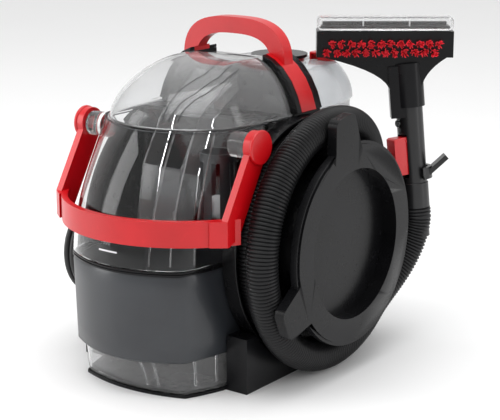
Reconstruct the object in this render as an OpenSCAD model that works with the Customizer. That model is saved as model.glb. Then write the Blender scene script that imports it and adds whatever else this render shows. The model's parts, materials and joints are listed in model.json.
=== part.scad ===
// Portable spot extractor: a front recovery tank, a motor tower with a carry
// handle, a rear clean-water tank, a hose wound on a side spool and a hand tool.
// X runs across the machine, Y from front to back, Z up from the floor.

/* [Tower] */
// Half-width of the tower arch over the motor
tower_half_w = 89; // [86:1:107]
// Height of the crown of the tower arch
tower_top = 304; // [290:1:365]
// Depth of the flat deck between the handle legs below the crown
deck_drop = 13; // [10:1:16]
// Height where the tower sides begin to round in
tower_spring = 170; // [150:1:200]
// Front face of the tower below the lid
tower_front = 8; // [4:1:20]
// Back face of the tower
tower_back = 84; // [78:1:96]
// Wall thickness of the black mouldings
shell_wall = 2.6; // [2:0.1:3.2]
// Half-width over the side cheek
side_half_w = 98; // [95:1:115]
// Height of the side skirts of the base
skirt_h = 54; // [40:1:60]

/* [Front tank] */
// Half-width of the tank beside the spool
tank_half_w = 76.5; // [70:0.5:76.5]
// Height of the clear foot of the tank
tank_foot_h = 37; // [30:1:45]
// Height of the seam above the grey band
tank_seam_z = 121; // [110:1:130]
// Height of the seam under the lid
lid_seam_z = 247; // [236:1:260]
// Wall thickness of the tanks
tank_wall = 2.2; // [1.6:0.1:3]

/* [Spool and hose] */
// Distance of the spool axis behind the machine's zero line
spool_y = 48.6; // [46:0.1:60]
// Height of the spool axis
spool_z = 130.2; // [130.2:0.1:170]
// Radius of the spool drum
drum_r = 79; // [70:0.5:79]
// Outside diameter of the ribbed hose
hose_d = 31; // [25:0.5:31]
// Radius of the round plate in front of the hose
disc_r = 99; // [92:1:104]
// Thickness of the round plate
disc_t = 10; // [8:0.5:12]

/* [Handles] */
// Half-width of the carry handle outside
handle_half_w = 62; // [58:1:72]
// Height of the carry handle above the tower
handle_h = 31; // [28:1:50]
// Thickness of the hoop of the carry handle
hoop_t = 16; // [14:1:20]
// Depth of the hoop, front to back
hoop_d = 14; // [12:1:18]
// Width of the red strip, front to back
strip_w = 24; // [18:1:26]
// Height of the red bar of the tank bail
bail_h = 24; // [18:1:28]

/* [Wand and tool] */
// Outside diameter of the wand tube
wand_d = 27; // [22:0.5:28]
// Width of the hand tool
tool_w = 136; // [115:1:152]
// Number of bristle tufts in each row
tufts = 12; // [6:1:12]

/* [Cord] */
// Diameter of the mains cord
cord_d = 7.5; // [6:0.5:8]
// Cord turns side by side
cord_columns = 4; // [2:1:4]
// Cord turns on top of each other
cord_layers = 4; // [1:1:4]

/* [Hidden] */
$fn = 48;
// Gap between pieces that are fixed to each other
fit = 0.2;
// Gap between pieces that move past each other
play = 0.5;

// ---- Curves and lofts ----
// Half-width of the tower arch at a height, for an arch grown by a skin
arch_power = 3;
function arch_x(z, grow = 0) =
  let (t = max(0, (z - tower_spring) / (tower_top + grow - tower_spring)))
  (tower_half_w + grow) * pow(max(0, 1 - pow(t, arch_power)), 1 / arch_power);
// Points of the arch from the right springing over the top to the left
arch_steps = 28;
function arch_points(grow = 0) = [
  for (i = [0:arch_steps])
    let (a = 180 * i / arch_steps, c = cos(a), s = sin(a))
    let (k = pow(pow(abs(c), arch_power) + pow(s, arch_power), -1 / arch_power))
    [(tower_half_w + grow) * k * c,
     tower_spring + (tower_top + grow - tower_spring) * k * s]
];
// The arch, with the notch of the deck between the handle legs
deck_half_w = 44;
deck_z = tower_top - deck_drop;
module arch_2d(grow = 0, low = 0) {
  difference() {
    polygon(concat(
      [[tower_half_w + grow, low]], arch_points(grow), [[-tower_half_w - grow, low]]
    ));
    translate([grow - deck_half_w, deck_z + grow]) square([2 * (deck_half_w - grow), 100]);
  }
}
// Stands a flat outline drawn in X and Z up, from one Y to another
module along_y(y0, y1) {
  translate([0, y1, 0]) rotate([90, 0, 0]) linear_extrude(y1 - y0) children();
}
// A shallow arc from p to q that bulges to the left of the way it goes
function bow(p, q, bulge, n) = [
  for (i = [0:n])
    let (t = i / n, d = q - p, l = norm(d))
    p + d * t + [d[1], -d[0]] / l * bulge * 4 * t * (1 - t)
];
// Plan outline: side corner, crease, bowed front, crease, side corner, back.
// v = [z, side x, side y, crease x, crease y, front y, side bow, back x, back y]
front_steps = 12;
side_steps = 4;
function ring(v) =
  let (
    right = bow([v[3], v[4]], [v[1], v[2]], v[6], side_steps),
    front = bow([-v[3], v[4]], [v[3], v[4]], v[4] - v[5], front_steps)
  )
  let (left = [for (i = [side_steps:-1:0]) [-right[i][0], right[i][1]]])
  let (plan = concat(
    left, [for (i = [1:front_steps - 1]) front[i]], right,
    [[v[7], v[8]], [-v[7], v[8]]]
  ))
  [for (p = plan) [p[0], p[1], v[0]]];
// The same outline one wall further in
function inner(v, w) =
  [v[0], v[1] - w, v[2], v[3] - w * 0.8, v[4] + w, v[5] + w, v[6], v[7] - w, v[8] - w];
function at(v, z) = [z, v[1], v[2], v[3], v[4], v[5], v[6], v[7], v[8]];
function mix_rows(a, b, t) = [for (i = [0:8]) a[i] * (1 - t) + b[i] * t];
// A solid through a list of rings, closed at the first and the last one
module loft(rings) {
  n = len(rings[0]);
  m = len(rings);
  points = [for (r = rings) for (p = r) p];
  sides = [
    for (j = [0:m - 2]) for (i = [0:n - 1])
      let (k = (i + 1) % n)
      each [
        [j * n + i, (j + 1) * n + i, (j + 1) * n + k],
        [j * n + i, (j + 1) * n + k, j * n + k]
      ]
  ];
  first = [for (i = [0:n - 1]) i];
  last = [for (i = [n - 1:-1:0]) (m - 1) * n + i];
  polyhedron(points = points, faces = concat([first, last], sides), convexity = 6);
}
module loft_rows(rows) {
  loft([for (v = rows) ring(v)]);
}
// A cup: up the outside, over the rim and down the inside to a floor
module cup(rows, w, floor_t) {
  top = len(rows) - 1;
  outside = [for (v = rows) ring(v)];
  inside = [
    for (i = [top:-1:0])
      ring(i == 0 ? at(inner(rows[0], w), rows[0][0] + floor_t) : inner(rows[i], w))
  ];
  loft(concat(outside, inside));
}
// A sleeve: up the outside and down the inside, open at both ends
module sleeve(rows, w) {
  difference() {
    loft_rows(rows);
    loft_rows([
      for (i = [0:len(rows) - 1])
        let (lift = i == 0 ? -1 : (i == len(rows) - 1 ? 1 : 0))
        at(inner(rows[i], w), rows[i][0] + lift)
    ]);
  }
}
module round_box(size, r) {
  linear_extrude(size[2]) round_rect(size[0], size[1], r);
}
module round_rect(w, l, r) {
  square([w - 2 * r, l], center = true);
  square([w, l - 2 * r], center = true);
  for (sx = [-1, 1]) for (sy = [-1, 1])
    translate([sx * (w / 2 - r), sy * (l / 2 - r)]) circle(r);
}
module tube(r, hole, h) {
  difference() {
    cylinder(r = r, h = h);
    translate([0, 0, -1]) cylinder(r = hole, h = h + 2);
  }
}
module on_spool() {
  translate([0, spool_y, spool_z]) rotate([90, 0, 90]) children();
}

// ---- Front tank rows ----
// [z, side x, side y, crease x, crease y, front y, side bow, back x, back y]
tank_back = tower_front - play * 2;
tw = tank_half_w;
foot_row = [4, tw - 1, -64, 60, -102.5, -114.5, 1, tw - 1, tank_back - 1];
foot_top = [tank_foot_h - fit, tw - 1, -64, 60.3, -106, -129, 1, tw - 1, tank_back - 1];
band_low = [tank_foot_h, tw, -66, 66, -110.5, -134, 1, tw, tank_back];
band_high = [tank_seam_z, tw, -66, 66.6, -113.5, -137, 2, tw, tank_back];
bowl_top = [lid_seam_z, tw, -40, 58, -66, -90, 5, tw, tank_back];
// The bowl leans back on a curve from the band to the lid
bowl_lean = 1.9;
function bowl_row(t) =
  let (row = mix_rows(band_high, bowl_top, pow(t, bowl_lean)))
  at(row, tank_seam_z + (lid_seam_z - tank_seam_z) * t);
// Lid rows follow the arch of the tower at the back and a dome at the front
lid_back = 40;
lid_top = tower_top - 4;
function lid_row(t, shrink = 0) =
  let (
    z = lid_seam_z + 1 + (lid_top - lid_seam_z - 1) * sin(90 * t) - shrink,
    w = max(6, arch_x(z - 1, 0) - 1.5 - shrink),
    reach = (lid_back + 90) * cos(88 * t) - shrink,
    front = lid_back - max(8, reach),
    side = front * 0.28 + lid_back * 0.1
  )
  [z, w * 0.96, side, w * 0.66, front * 0.74 + side * 0.26, front, w * 0.05, w, lid_back - shrink];

// ---- Rear tank rows, drawn as a front tank and mirrored ----
clean_front = tower_back + play * 3;
clean_floor = skirt_h + 3;
clean_back = 190;
clean_top = tower_top - 20;
clean_step = lid_seam_z + 1;
// Straight below the step, above it the sides follow the tower arch inward
clean_low_row = [clean_floor, tw, -clean_front - 20, 66, -166, -clean_back, 3, tw, -clean_front];
function clean_row(t) =
  let (z = clean_step + (clean_top - clean_step) * t, w = arch_x(z) - 1, f = t * t)
  [z, w, -clean_front - 16, 68 - 16 * f, -168 + 8 * f, -clean_back + 16 * f, 3, w, -clean_front];
function clean_rows(w) = concat(
  [at(inner(clean_low_row, w), clean_floor + w), at(inner(clean_low_row, w), clean_step - 3 + w)],
  [for (t = [0, 0.25, 0.5, 0.75, 0.9, 1])
    let (v = inner(clean_row(t), w)) at(v, v[0] + (t == 0 ? w : (t == 1 ? -w : 0)))]
);

// ---- Spool, hose and hose route ----
hose_r = hose_d / 2;
disc_back = 140;
disc_face = disc_back + disc_t;
dish_r = drum_r - 3;
dish_deep = 15;
shroud_floor = tank_half_w + 1.2;
shroud_r = drum_r + hose_d + 7;
shroud_deep = 16;
shroud_face = shroud_floor + shroud_deep;
// Inner turn rests on the drum, outer turn rests on the inner one
inner_turn = [shroud_floor + shell_wall + hose_r + 0.3, drum_r + hose_r + 0.5];
outer_turn = inner_turn + (hose_d - 0.1) * [0.793, 0.609];
cuff_turn = [138.6, 131.4];
port_angle = 90;
swap_start = 345;
swap_end = 440;
leave_start = 668;
leave_end = 720;
coil_end = 270;
function ease(t) = let (u = min(1, max(0, t))) u * u * (3 - 2 * u);
// Place across and radius of the hose centre at an angle along its winding
function turn_at(a) =
  let (
    first = ease((a - swap_start) / (swap_end - swap_start)),
    second = ease((a - leave_start) / (leave_end - leave_start)),
    here = inner_turn * (1 - first) + outer_turn * first
  )
  here * (1 - second) + cuff_turn * second;
function hose_point(a) =
  let (p = turn_at(a))
  [p[0], spool_y + p[1] * cos(a), spool_z + p[1] * sin(a)];
bridge_route = [for (a = [coil_end:9:port_angle + 360]) hose_point(a)];
wand_lean = 6;
wand_yaw = 36;
cuff_low = [cuff_turn[0], spool_y + cuff_turn[1], spool_z];
lean_way = [-sin(wand_lean), 0, cos(wand_lean)];
tail_route = concat(
  [for (a = [coil_end + 360:7.5:leave_end]) hose_point(a)], [cuff_low + lean_way * (8 - play)]
);
// A round tube swept along a list of points, never turned about its own line
module swept_tube(route, r, sides) {
  n = len(route);
  ways = [
    for (i = [0:n - 1])
      let (d = route[min(n - 1, i + 1)] - route[max(0, i - 1)]) d / norm(d)
  ];
  loft([
    for (i = [0:n - 1])
      let (
        u0 = cross(ways[i], sweep_side),
        u = u0 / norm(u0),
        v = cross(ways[i], u)
      )
      [for (k = [0:sides - 1]) route[i] + r * (u * cos(360 * k / sides) + v * sin(360 * k / sides))]
  ]);
}
sweep_side = [1, 0, 0];

// ---- Wand and tool places ----
wand_r = wand_d / 2;
module wand_frame() {
  translate(cuff_low + lean_way * 8) rotate([0, -wand_lean, 0]) rotate([0, 0, wand_yaw])
    children();
}
// The grip is turned so its trigger looks across the machine
grip_turn = -60;
module grip_frame() {
  wand_frame() rotate([0, 0, grip_turn]) children();
}
cuff_len = 26;
// A taller tower lifts the tool with it
tool_rise = 1.1 * max(0, tower_top - 304);
grip_len = 92 + tool_rise;
tool_sleeve_z = cuff_len + 78 + tool_rise;
tool_sleeve_h = 44;
head_z = cuff_len + 129 + tool_rise;
trigger_pivot = [-11, 44];
trigger_out = 12;
head_shift = -22;
module head_frame() {
  translate(cuff_low + lean_way * (8 + head_z)) rotate([0, 0, wand_yaw])
    translate([head_shift, 0, 0]) children();
}

// ---- Cord winding places ----
side_x = max(side_half_w, tower_half_w + 9);
wind_front_y = -9.5;
wind_rear_y = 62;
wind_z = 97;
wind_inner = 20.5;
wind_outer = wind_inner + cord_layers * cord_d;
wind_x0 = -side_x - 3.5;
wind_x1 = wind_x0 - cord_columns * cord_d;
lead_x = wind_x0 - cord_d / 2;
lead_z = wind_z - wind_outer + cord_d / 2;
end_x = wind_x1 + cord_d / 2;
end_y = wind_rear_y + wind_outer - cord_d / 2;
gland_y = 110;
plug_z = 62;

// ==== Base and tower ====
module base_outline(grow = 0) {
  w = side_x + 3 + grow;
  rear_deep = clean_back - 136 + grow;
  rear = [for (i = [0:12]) let (a = 90 * i / 12) [w - 46 + 46 * cos(a), 140 + rear_deep * sin(a)]];
  polygon(concat(
    [[w, -61.5 - grow], [w, 140]], rear,
    [for (i = [12:-1:0]) [-rear[i][0], rear[i][1]]], [[-w, -61.5 - grow]]
  ));
}
module base_pan() color("#17181b") {
  difference() {
    union() {
      linear_extrude(skirt_h) base_outline();
      linear_extrude(3) polygon([for (p = ring(foot_row)) [p[0] * 1.01, p[1] * 1.008]]);
    }
    translate([0, 0, 3]) linear_extrude(skirt_h) difference() {
      base_outline(-3);
      translate([-300, -300]) square([600, 300 + tower_front + 3]);
    }
    translate([-tw - 1, -200, 3]) cube([2 * tw + 2, 200 + tower_front, skirt_h]);
    spool_clearance();
    for (p = foot_places()) translate([p[0], p[1], -1]) cylinder(r = foot_r + fit, h = 3);
    translate([-side_x + 5, button_y, 30]) rotate([0, -90, 0]) cylinder(r = button_r + fit, h = 20);
  }
}
module spool_clearance() {
  on_spool() translate([0, 0, shroud_floor - fit]) cylinder(r = shroud_r + fit, h = 80, $fn = 96);
  on_spool() translate([0, 0, shroud_face - fit]) cylinder(r = shroud_r + 5, h = 80, $fn = 96);
}
foot_r = 9;
function foot_places() = [[86, -44], [-86, -44], [60, 168], [-60, 168]];
module rubber_feet() color("#2b2b2d")
  for (p = foot_places()) translate([p[0], p[1], 0]) cylinder(r = foot_r, h = 2);

module tower_solid(inset) {
  along_y(tower_front + inset, tower_back - inset)
    intersection() {
      arch_2d(-inset, skirt_h + fit + inset);
      translate([-200, 0]) square([400, lid_seam_z - 1 - inset]);
    }
  along_y(lid_back + 1 + inset, tower_back - inset) arch_2d(-inset, skirt_h + fit + inset);
}
module housing() {
  difference() {
    tower_solid(0);
    tower_solid(shell_wall);
    spool_clearance();
    translate([0, motor_y, lid_seam_z - 8]) cylinder(r = 17, h = 12);
    translate([hose_inlet_x, hose_inlet[0], hose_inlet[1]]) rotate([0, 90, 0]) cylinder(r = 13, h = 40);
    translate([-vent_w / 2, tower_back - 10, 70]) cube([vent_w, 20, 40]);
    translate([0, 62, deck_z - 10]) round_box([38, 15, 30], 7);
    for (p = screw_places)
      translate([p[0], tower_back + 1, p[1]]) rotate([90, 0, 0]) cylinder(r = 1.7, h = 6);
  }
}
screw_places = [for (x = [-52, 52]) for (z = [130, 220]) [x, z]];
hose_inlet = [
  spool_y + inner_turn[1] * cos(port_angle - 18), spool_z + inner_turn[1] * sin(port_angle - 18)
];
hose_inlet_x = 60;
vent_w = 90;
module housing_left() color("#141416")
  intersection() {
    housing();
    translate([-300, -300, 0]) cube([300 - fit / 2, 700, 500]);
  }
module housing_right() color("#141416")
  intersection() {
    union() {
      housing();
      spool_wall();
    }
    translate([fit / 2, -300, 0]) cube([300, 700, 500]);
  }
// The flat wall that closes the tower behind the spool
module spool_wall() {
  intersection() {
    along_y(tower_front, tower_back) arch_2d(0, skirt_h + fit);
    difference() {
      on_spool() translate([0, 0, shroud_floor - fit - shell_wall])
        cylinder(r = shroud_r, h = shell_wall, $fn = 96);
      translate([hose_inlet_x, hose_inlet[0], hose_inlet[1]]) rotate([0, 90, 0]) cylinder(r = 13, h = 40);
    }
  }
}
skin = 3;
module skin_2d(grow) {
  difference() {
    arch_2d(grow, 0);
    arch_2d(fit, -1);
    translate([-200, -2]) square([400, lid_seam_z + 5]);
    translate([-deck_half_w, 0]) square([2 * deck_half_w, 500]);
  }
}
strip_y = 60;
rim_front_y = lid_back + 1;
strip_y0 = strip_y - strip_w / 2;
strip_y1 = strip_y + strip_w / 2;
module front_rim() color("#1c1d20")
  along_y(rim_front_y, strip_y0 - fit) skin_2d(skin + 1);
module rear_rim() color("#1c1d20")
  along_y(strip_y1 + fit, tower_back) skin_2d(skin);

// ==== Carry handle ====
leg_x = handle_half_w - hoop_t / 2;
handle_low = tower_top - 18;
crown_z = tower_top + handle_h - hoop_t / 2;
// Outline of the hoop: upright legs, rounded shoulders and a crowned top
hoop_power = 2.9;
function hoop_points(grow) = [
  for (i = [0:40])
    let (a = 180 * i / 40, c = cos(a), s = sin(a))
    let (k = pow(pow(abs(c), hoop_power) + pow(s, hoop_power), -1 / hoop_power))
    [(leg_x + grow) * k * c, handle_low + (crown_z - handle_low + grow) * k * s]
];
module carry_handle() color("#d5161e") {
  along_y(strip_y0, strip_y1) skin_2d(skin + 1.2);
  along_y(strip_y - hoop_d / 2, strip_y + hoop_d / 2) difference() {
    polygon(hoop_points(hoop_t / 2));
    polygon(hoop_points(-hoop_t / 2));
    arch_2d(fit, 0);
  }
}

// ==== Deck and vent ====
vent_y = 62;
module top_deck() color("#6f7378", 0.8)
  difference() {
    translate([fit - deck_half_w, rim_front_y, deck_z + fit])
      cube([2 * (deck_half_w - fit), tower_back - rim_front_y, skin]);
    translate([0, vent_y, deck_z - 1]) round_box([36 + 2 * fit, 13 + 2 * fit, 30], 6);
  }
module deck_vent() color("#0c0c0d")
  difference() {
    translate([0, vent_y, deck_z - 6]) round_box([36, 13, 11], 5.8);
    translate([0, vent_y, deck_z + 2]) round_box([28, 6, 13], 2.6);
  }

// ==== Motor, fan, pump and ducts ====
motor_y = (tower_front + tower_back) / 2;
motor_r = 30;
motor_z = 100;
motor_h = 78;
fan_z = motor_z + motor_h + 1;
fan_r = 32;
shaft_r = 3;
module motor_can() color("#8a8d92")
  translate([0, motor_y, motor_z]) difference() {
    union() {
      cylinder(r = motor_r, h = motor_h);
      translate([0, 0, -8]) cylinder(r = 12, h = 9);
    }
    translate([0, 0, motor_h - 14]) cylinder(r = shaft_r + 0.05, h = 20);
    for (a = [0:60:300]) rotate([0, 0, a]) translate([motor_r - 4, 0, 10]) cube([8, 4, 30]);
  }
module fan_housing() color("#26282c")
  translate([0, motor_y, fan_z]) difference() {
    cylinder(r = fan_r + 1.5, h = 34);
    translate([0, 0, 2]) cylinder(r = fan_r, h = 30);
    translate([0, 0, -1]) cylinder(r = shaft_r + 2, h = 4);
    translate([0, 0, 30]) cylinder(r = 14, h = 6);
    rotate([0, 0, 90]) translate([0, -6, 6]) cube([50, 12, 20]);
  }
module fan_impeller() color("#c9ccd0")
  translate([0, motor_y, fan_z]) {
    translate([0, 0, -14]) cylinder(r = shaft_r, h = 34);
    translate([0, 0, 4]) difference() {
      cylinder(r = fan_r - 2, h = 2);
      translate([0, 0, -1]) cylinder(r = shaft_r - 0.5, h = 2);
    }
    for (a = [0:45:315]) rotate([0, 0, a]) translate([shaft_r + 5, -0.8, 5]) cube([fan_r - 11, 1.6, 12]);
  }
module water_pump() color("#3c4a63")
  translate([-48, 46, skirt_h + 4]) {
    round_box([36, 40, 26], 5);
    translate([0, 0, 25]) cylinder(r = 13, h = 18);
    translate([0, 19.5, 12]) rotate([-90, 0, 0]) tube(4, 2.5, 8);
  }
module suction_duct() color("#202226")
  translate([0, motor_y, fan_z + 34 + fit])
    tube(16.5, 13.5, lid_seam_z - 1 - fan_z - 34 - fit);
module air_grille() color("#0f0f11")
  difference() {
    translate([-vent_w / 2 + fit, tower_back - shell_wall, 70 + fit])
      cube([vent_w - 2 * fit, shell_wall, 40 - 2 * fit]);
    for (i = [0:8]) translate([-vent_w / 2 + 6, tower_back - 10, 74 + i * 4]) cube([vent_w - 12, 20, 1.6]);
  }
module case_screws() color("#9a9da2")
  for (p = screw_places)
    translate([p[0], tower_back, p[1]]) rotate([90, 0, 0]) {
      cylinder(r = 1.6, h = 6);
      translate([0, 0, -1.1]) difference() {
        cylinder(r = 3.4, h = 1.1);
        translate([0, 0, -1]) cylinder(r = 1.5, h = 1.6, $fn = 6);
      }
    }
button_y = 112;
button_r = 9;
module power_button() color("#b8141b")
  translate([-side_x, button_y, 30]) rotate([0, -90, 0]) cylinder(r = button_r, h = 6.5);

// ==== Side cheek on the cord side ====
module left_cheek() color("#141416")
  difference() {
    translate([-side_x, spool_y, spool_z]) rotate([0, 90, 0]) difference() {
      cylinder(r = shroud_r, h = side_x - tank_half_w - 1, $fn = 96);
      translate([0, 0, shell_wall]) cylinder(r = shroud_r - shell_wall, h = 40, $fn = 96);
    }
    translate([-200, -200, -50]) cube([400, 400, 50 + skirt_h + fit]);
    translate([-tower_half_w - fit, tower_front - fit, 0]) cube([200, 300, 500]);
    translate([-200, tower_back, 0]) cube([400, 300, 500]);
  }

// ==== Spool ====
module spool_shroud() color("#121214")
  on_spool() rotate_extrude($fn = 128) translate([0, shroud_floor])
    difference() {
      union() {
        square([shroud_r, shell_wall]);
        translate([shroud_r - shell_wall, 0]) square([shell_wall, shroud_deep]);
      }
      square([drum_r - 8, 60], center = true);
    }
module spool_drum() color("#101012")
  on_spool() translate([0, 0, shroud_floor + shell_wall + fit])
    tube(drum_r, drum_r - shell_wall, disc_back - shroud_floor - shell_wall - 2 * fit, $fn = 128);
tab_angles = [100, 205];
tab_reach = 128;
module spool_disc() color("#0e0e10")
  on_spool() difference() {
    union() {
      translate([0, 0, disc_back]) cylinder(r = disc_r - 2, h = 2, $fn = 128);
      translate([0, 0, disc_back + 2]) cylinder(r = disc_r, h = disc_t - 3.5, $fn = 128);
      translate([0, 0, disc_face - 1.5]) cylinder(r = disc_r - 3, h = 1.5, $fn = 128);
      for (a = tab_angles) rotate([0, 0, a]) spool_tab();
      translate([0, 0, disc_face - dish_deep - 3]) cylinder(r = dish_r - 0.3, h = dish_deep, $fn = 128);
    }
    translate([0, 0, disc_face - dish_deep]) cylinder(r = dish_r - 3, h = 40, $fn = 128);
  }
// A finger that leans out over the hose and keeps it on the drum
module spool_tab() {
  translate([0, 0, disc_back]) linear_extrude(disc_t) {
    polygon([
      [disc_r - 12, -24], [disc_r - 2, -21], [tab_reach - 8, -17],
      [tab_reach - 8, 17], [disc_r - 2, 21], [disc_r - 12, 24]
    ]);
    translate([tab_reach - 8, -9]) circle(8);
    translate([tab_reach - 8, 9]) circle(8);
    translate([tab_reach - 8, -9]) square([8, 18]);
  }
}
module hose_port() color("#1a1a1c") {
  r = hose_r - 0.6;
  translate([inner_turn[0], hose_inlet[0], hose_inlet[1]]) {
    translate([r * 0.3, 0, 0]) rotate([0, -90, 0])
      cylinder(r = r, h = inner_turn[0] + r * 0.3 - shroud_floor - shell_wall - fit);
    rotate([port_angle - 9, 0, 0]) cylinder(r = r - 0.4, h = port_len);
  }
}
port_len = norm([
  hose_point(port_angle)[1] - hose_inlet[0], hose_point(port_angle)[2] - hose_inlet[1]
]) - 9;
module hose_coil() color("#161618")
  on_spool() rotate([0, 0, port_angle]) rotate_extrude(angle = coil_end - port_angle, $fn = 128) {
    translate([inner_turn[1], inner_turn[0]]) circle(hose_r);
    translate([outer_turn[1], outer_turn[0]]) circle(hose_r);
    translate([inner_turn[1], inner_turn[0]])
      rotate([0, 0, atan2(outer_turn[0] - inner_turn[0], outer_turn[1] - inner_turn[1])])
        translate([0, -hose_r]) square([norm(outer_turn - inner_turn), hose_d]);
  }
module hose_bridge() color("#161618") swept_tube(bridge_route, hose_r, 12);
module hose_tail() color("#161618") swept_tube(tail_route, hose_r, 12);

// ==== Cord wrap ====
module hook(post_w, lip_up, lip_down) {
  reach = -side_x - fit - wind_x1 + play;
  translate([-side_x - fit, 0, 0]) rotate([0, -90, 0]) {
    cylinder(r = post_w, h = reach);
    translate([0, 0, reach]) linear_extrude(4)
      translate([(lip_up - lip_down) / 2, 0]) round_rect(lip_up + lip_down, 2 * post_w + 4, 9);
  }
}
module cord_hook_front() color("#1b1c1f")
  translate([0, wind_front_y - wind_inner + 12.8, wind_z]) hook(12, 36, 36);
module cord_hook_rear() color("#1b1c1f")
  translate([0, wind_rear_y + wind_inner - 12.8, wind_z]) hook(12, 36, 36);
module racetrack(r) {
  translate([wind_front_y, 0]) circle(r);
  translate([wind_rear_y, 0]) circle(r);
  translate([wind_front_y, -r]) square([wind_rear_y - wind_front_y, 2 * r]);
}
module cord_winding() color("#111113")
  translate([wind_x0, 0, wind_z]) rotate([90, 0, -90]) mirror([1, 0, 0])
    linear_extrude(wind_x0 - wind_x1) difference() {
      racetrack(wind_outer);
      racetrack(wind_inner);
    }
module cord_lead() color("#111113")
  translate([lead_x, wind_rear_y, lead_z]) rotate([-90, 0, 0])
    cylinder(r = cord_d / 2, h = gland_y - wind_rear_y);
module cord_end() color("#111113")
  translate([end_x, end_y, plug_z]) cylinder(r = cord_d / 2, h = wind_z - plug_z);
module cord_gland() color("#1d1d20")
  difference() {
    translate([lead_x, gland_y, lead_z]) rotate([-90, 0, 0]) {
      cylinder(r1 = cord_d / 2 + 1, r2 = cord_d / 2 + 3, h = 24);
      translate([-8, -8, 24]) cube([16, 16, 10]);
    }
    translate([-side_x - 3 - fit, 0, 0]) cube([50, 300, 200]);
  }
module mains_plug() color("#1a1a1c")
  translate([end_x, end_y, plug_z]) mirror([0, 0, 1]) {
    cylinder(r1 = 5.5, r2 = 9, h = 14);
    translate([0, 0, 14]) cylinder(r = 11, h = 12);
    for (s = [-1, 1]) translate([0, s * 6.35, 26]) linear_extrude(17) square([6.3, 1.6], center = true);
  }

// ==== Wand cradle ====
cradle_z = 30;
cradle_h = 12;
arm_z = cuff_low[2] + 8 + cradle_z;
module wand_cradle() color("#25262a")
  difference() {
    union() {
      wand_frame() translate([0, 0, cradle_z]) {
        cylinder(r = wand_r + 5.5, h = cradle_h);
        translate([12, -10, 0]) rotate([0, -38, 0]) cube([30, 16, 5]);
      }
      translate([shroud_face - 13, spool_y + 96, arm_z]) cube([9, cuff_turn[1] - 88, cradle_h - 2]);
      translate([shroud_face - 13, cuff_low[1] - 4, arm_z])
        cube([cuff_low[0] - shroud_face - 4, 12, cradle_h - 2]);
    }
    on_spool() cylinder(r = shroud_r + fit, h = 200, $fn = 96);
    on_spool() translate([0, 0, 102]) cylinder(r = outer_turn[1] + hose_r + 1, h = 80, $fn = 96);
    wand_frame() {
      cylinder(r = max(hose_r - 1, wand_r) + play, h = 120);
      translate([-wand_r - 10, -60, cradle_z - 1]) cube([2 * wand_r + 5, 50, cradle_h + 2]);
      translate([-40, -60, cradle_z - 1]) cube([38, 66, cradle_h + 2]);
    }
  }

// ==== Front tank ====
module tank_foot() color("#d9dde0", 0.5)
  cup([foot_row, foot_top], tank_wall, tank_wall);
band_wall = 5.2;
module tank_band() color("#3d4146")
  sleeve([band_low, band_high], band_wall);
module tank_seam() color("#101113")
  sleeve([at(band_high, tank_seam_z + fit), at(band_high, tank_seam_z + 5)], tank_wall + 1);
module tank_bowl() color("#c9ced2", 0.45) {
  rows = [for (i = [0:6]) bowl_row(i / 6)];
  difference() {
    sleeve([for (v = rows) at(v, v[0] + (v[0] < tank_seam_z + 1 ? 5 + 2 * fit : 0))], tank_wall);
    pivot_bores();
  }
}
pivot_y = -47;
pivot_z = 234.5;
module pivot_bores() {
  for (s = [-1, 1]) translate([s * tw, pivot_y, pivot_z]) rotate([0, 90, 0])
    cylinder(r = 6, h = 20, center = true);
}
pivot_out = 97;
bail_out = 108;
module bail_pivots() color("#d5d9dc", 0.6)
  for (s = [-1, 1]) on_side(s) translate([tw + fit, pivot_y, pivot_z]) rotate([0, 90, 0]) {
    cylinder(r = 12, h = pivot_out - tw - 1 - fit);
    cylinder(r = 6, h = bail_out - 3 - tw - fit);
  }
module on_side(s) {
  if (s > 0) children();
  else mirror([1, 0, 0]) children();
}
module tank_lid() color("#d9dde0", 0.4)
  difference() {
    loft_rows([for (i = [0:9]) lid_row(i / 9)]);
    loft_rows(concat(
      [at(lid_row(0, tank_wall), lid_seam_z - 1)], [for (i = [0:9]) lid_row(i / 9, tank_wall)]
    ));
  }
module lid_seal() color("#22252a")
  sleeve(
    [for (z = [fit, 0.8]) at(inner(bowl_top, -0.8), lid_seam_z + z)], tank_wall + 2
  );
module separator_duct() color("#aab0b5", 0.6)
  difference() {
    duct_solid(0);
    duct_solid(2);
  }
module duct_solid(w) {
  along_x(-24 + w, 24 - w) polygon([
    [-70 + w, 140 - w * 2], [-58, 205], [-30, 250], [20 + w * 2, 285 - w], [32 - w, 285 - w],
    [32 - w, 266 + w], [-10, 246], [-34, 195], [-44 - w, 140 - w * 2]
  ]);
}
module along_x(x0, x1) {
  translate([x0, 0, 0]) rotate([90, 0, 90]) linear_extrude(x1 - x0) children();
}
float_place = [44, -30];
module float_cage() color("#2a2d31")
  translate([float_place[0], float_place[1], 0]) difference() {
    translate([0, 0, 150]) cylinder(r = 17, h = 70);
    translate([0, 0, 152]) cylinder(r = 15, h = 80);
    for (a = [0:60:120]) rotate([0, 0, a]) translate([-20, -4, 156]) cube([40, 8, 56]);
  }
module float_ball() color("#d8dadc")
  translate([float_place[0], float_place[1], 152 + 13.2]) sphere(r = 13);

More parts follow.
